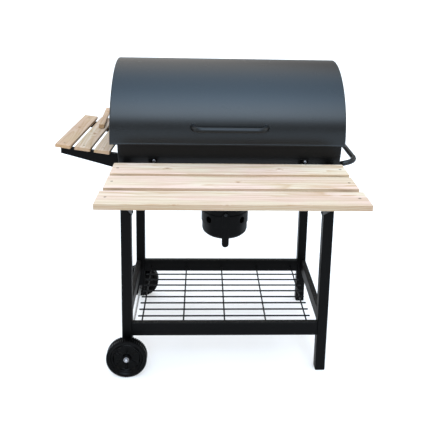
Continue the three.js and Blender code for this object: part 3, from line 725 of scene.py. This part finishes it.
def make_fasteners():
    for side, sign in SIDES:
        for name, body, radius, angles in (("hinge_upper", "lid", LID_R, (9.5, 16.5)),
                                           ("hinge_lower", "stand", TROUGH_R, (-8.5, -14.5))):
            low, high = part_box(f"{name}_{side}")
            middle = (low.x + high.x) / 2
            heads = [button(barrel_point(middle + s * HINGE_RIVET_X, radius + HINGE_LEAF, angle),
                            barrel_point(0, 1, angle) - barrel_point(0, 0, angle), 3.6 * MM, 1.8 * MM)
                     for s in (-1, 1) for angle in angles]
            rivets = f"{name}_rivets_{side}"
            piece(rivets, joined(rivets, heads), body, "frame_paint")
        heads = []
        for end, way in ENDS:
            low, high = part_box(f"leg_{end}_{side}")
            face = low.y if way < 0 else high.y
            place = ((low.x + high.x) / 2, face, high.z - LEG_BOLT_DROP)
            heads.append(button(place, (0, way, 0), 6 * MM, 3.2 * MM))
        low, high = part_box(f"table_strut_{side}")
        inner = high.x if sign < 0 else low.x
        inset = STRUT_INSET
        for y, z in ((high.y - inset, low.z + inset), (low.y + inset, high.z - inset)):
            heads.append(button((inner, y, z), (-sign, 0, 0), 5 * MM, 3 * MM))
        piece(f"frame_bolts_{side}", joined(f"frame_bolts_{side}", heads), "stand", "frame_paint")
    heads = []
    for end, way in ENDS:
        low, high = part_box(f"side_bracket_{end}")
        y = low.y + 10 * MM if way < 0 else high.y - 10 * MM
        heads += [button((high.x - BRACKET_SHEET, y, low.z + up * MM), (-1, 0, 0), 4 * MM, 2 * MM)
                  for up in (14, 46)]
    piece("side_bracket_rivets", joined("side_bracket_rivets", heads), "stand", "frame_paint")
    low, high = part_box("air_damper")
    pivot = button(((low.x + high.x) / 2, low.y, high.z - 4 * MM), (0, -1, 0), 6 * MM, 3 * MM)
    piece("damper_rivet", pivot, "air_damper", "frame_paint", MATERIALS["handle_paint"])


# ---- Shelf wires -----------------------------------------------------------------------------------
WIRE_RADIUS = 2.8 * MM
LONG_WIRES, LONG_PITCH = 8, 42 * MM
CROSS_WIRES, CROSS_PITCH = 5, 147.5 * MM


def make_wires():
    low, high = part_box("shelf_wire_grid")
    middle_x = (low.x + high.x) / 2
    middle_y = (low.y + high.y) / 2
    radius = WIRE_RADIUS
    wires = []
    for i in range(LONG_WIRES):
        y = middle_y + LONG_PITCH * (i - (LONG_WIRES - 1) / 2)
        ends = [Vector((x, y, high.z - radius)) for x in (low.x, high.x)]
        wires.append(wire(ends, radius))
    for i in range(CROSS_WIRES):
        x = middle_x + CROSS_PITCH * (i - (CROSS_WIRES - 1) / 2)
        ends = [Vector((x, y, low.z + radius)) for y in (low.y, high.y)]
        wires.append(wire(ends, radius))
    piece("shelf_wires", joined("shelf_wires", wires), "stand", "wire", replaces=["shelf_wire_grid"])


def wire(ends, radius):
    """A cut length of wire with softly rounded ends."""
    start, end = ends
    along = (end - start).normalized()
    trims = ((0, 0.55), (0.15, 0.8), (0.45, 0.96), (0.9, 1.0))
    stations = [(start + along * radius * d, s) for d, s in trims]
    stations += [(end - along * radius * d, s) for d, s in reversed(trims)]
    path = [p for p, _ in stations]
    rings = swept(path, radius, 16)
    for ring, (centre, share) in zip(rings, stations):
        for i, point in enumerate(ring):
            ring[i] = centre + (point - centre) * share
    return rings_mesh("wire", rings)


# ---- CAD nodes that stay ------------------------------------------------------------------------------
def dress_cad_nodes():
    for node in NODES:
        if NODES[node].hide_render:
            continue
        fine = node.startswith(("hinge", "cooking", "charcoal", "grate", "ash", "air"))
        finish = MATERIALS["bolt"] if node.startswith("table_bolt") else None
        dress(node, 0.4 if fine else 0.9, finish, 2 if fine else 3)


# ---- Stage, light and camera ----------------------------------------------------------------------------
# Light levels, and the front bank as shares of a unit sphere: its middle, half width and lean.
FILL = 0.42
SIDE_BANKS = 2.0
BANK_MIDDLE = 0.02
BANK_HALF = 0.35
BANK_LEAN = 0.28
FLOOR_HALF = 60.0
FLOOR_GLOW = 0.3


def make_floor():
    corners = ((-1, -1), (1, -1), (1, 1), (-1, 1))
    mesh = mesh_of("floor", [(x * FLOOR_HALF, y * FLOOR_HALF, 0) for x, y in corners], [(0, 1, 2, 3)])
    floor = bpy.data.objects.new("studio_floor", mesh)
    bpy.context.scene.collection.objects.link(floor)
    s = Shader("studio_floor")
    shade = s.ramp(s.noise(1.5, 2), 0.2, 0.8, 0.0, 1.0)
    colour = s.blend(shade, (0.66, 0.66, 0.66, 1), (0.68, 0.68, 0.68, 1))
    mesh.materials.append(s.surface(Base_Color=colour, Roughness=0.9, Specular_IOR_Level=0.1,
                                    Emission_Color=(1, 1, 1, 1), Emission_Strength=FLOOR_GLOW))


def make_sky():
    """Soft studio light: a bank over the front and top, a bank on each side and a low fill."""
    world = bpy.data.worlds.new("studio")
    bpy.context.scene.world = world
    s = Shader(world, "Generated")
    x, y, z = s.add("ShaderNodeSeparateXYZ", {0: s.coords}).outputs[:3]
    # Degrees from the front horizon over the top to the rear one, the level there and how cool it is.
    bank = ((0, 0.1, -0.3), (11, 0.15, -0.2), (15, 1.5, 0.4), (20, 4.2, 0.7), (25, 5.5, 0.8),
            (34, 5.7, 0.85), (44, 5.2, 1.2), (54, 4.5, 1.5), (70, 3.25, 1.75), (88, 2.7, 1.7),
            (106, 2.4, 1.0), (122, 1.8, 0.3), (146, 0.75, -0.3), (172, 0.25, -0.3))
    angle = s.math("ARCTAN2", z, s.math("MULTIPLY", y, -1.0))
    ramp = s.add("ShaderNodeValToRGB", {"Fac": s.math("DIVIDE", angle, math.pi)})
    top = max(level for _, level, _ in bank)
    stops = ramp.color_ramp.elements
    while len(stops) < len(bank):
        stops.new(0.5)
    for stop, (degrees, level, cool) in zip(stops, bank):
        stop.position = degrees / 180
        stop.color = (level / top * (1 - 0.16 * cool), level / top, level / top * (1 + 0.18 * cool), 1)
    # Behind, the bank leans to the left.
    lean = s.math("MULTIPLY_ADD", s.math("MULTIPLY", y, s.math("MAXIMUM", y, 0.0)), BANK_LEAN, x)
    across = s.math("MULTIPLY", s.math("ADD", lean, -BANK_MIDDLE), 1 / BANK_HALF)
    falloff = s.math("POWER", s.math("ABSOLUTE", across), 4.0)
    spread = s.math("POWER", math.e, s.math("MULTIPLY", falloff, -1.0))
    sides = s.math("MULTIPLY", s.ramp(s.math("ABSOLUTE", x), 0.5, 0.8), s.ramp(z, 0.1, 0.45))
    flat = s.math("MULTIPLY_ADD", sides, SIDE_BANKS, FILL)
    front = s.add("ShaderNodeVectorMath", {0: ramp.outputs["Color"], 3: s.math("MULTIPLY", spread, top)},
                  operation="SCALE").outputs[0]
    light = s.add("ShaderNodeVectorMath", {0: front, 1: s.add("ShaderNodeCombineXYZ", {
        0: flat, 1: flat, 2: flat}).outputs[0]}, operation="ADD").outputs[0]
    background = s.add("ShaderNodeBackground", {"Color": light, "Strength": 1.0})
    s.add("ShaderNodeOutputWorld", {"Surface": background.outputs[0]})


def make_camera():
    """Left of the middle, above the lid, looking a little down."""
    data = bpy.data.cameras.new("camera")
    data.sensor_width = 36.0
    data.lens = 46.906
    data.shift_x = -0.0035
    data.shift_y = -0.3048
    data.clip_end = 200
    camera = bpy.data.objects.new("camera", data)
    forward = Vector((0.03992, 0.97968, -0.19654))
    up = Vector((-0.01338, 0.19720, 0.98027))
    right = forward.cross(up).normalized()
    up = right.cross(forward)
    camera.matrix_world = Matrix.Translation((-0.0260, -1.9312, 1.3888)) @ Matrix(
        (right, up, -forward)).transposed().to_4x4()
    bpy.context.scene.collection.objects.link(camera)
    bpy.context.scene.camera = camera


make_camera()
make_sky()
make_floor()
make_lid()
make_trough()
make_handles()
for end_name, end_sign in ENDS:
    make_wheel(end_name, end_sign)
    make_dome_nut(end_name, end_sign)
make_front_table()
make_side_table()
make_wires()
make_fasteners()
dress_cad_nodes()
bpy.context.scene.view_settings.view_transform = "Standard"
